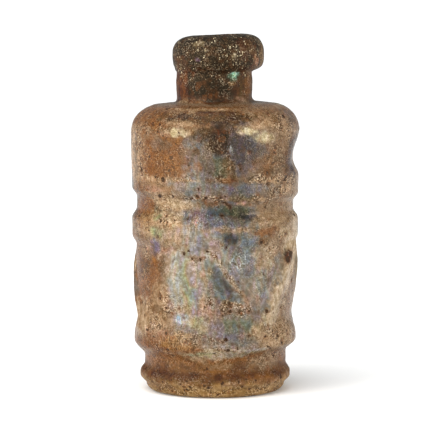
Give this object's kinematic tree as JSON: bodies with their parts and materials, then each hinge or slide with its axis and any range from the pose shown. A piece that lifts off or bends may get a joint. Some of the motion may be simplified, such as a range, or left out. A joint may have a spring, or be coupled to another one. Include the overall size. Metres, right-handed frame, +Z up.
{
  "type": "perfume bottle",
  "caption": "Hollow mould-blown glass perfume bottle: cylindrical body with ribs and a zigzag band, short neck and thick rolled rim.",
  "frame": {"origin": "centre of the flat underside, on the bottle's axis", "axes": "+Z up along the bottle's axis towards the mouth, front towards -Y, +X to the right seen from the front"},
  "size_m": [0.0404, 0.0404, 0.0853],
  "materials": {
    "weathered_glass": "brown translucent glass with iridescent weathering, pitting and patches of brown patina"
  },
  "bodies": {
    "root": {"bottle": "weathered_glass"}
  },
  "joints": []
}
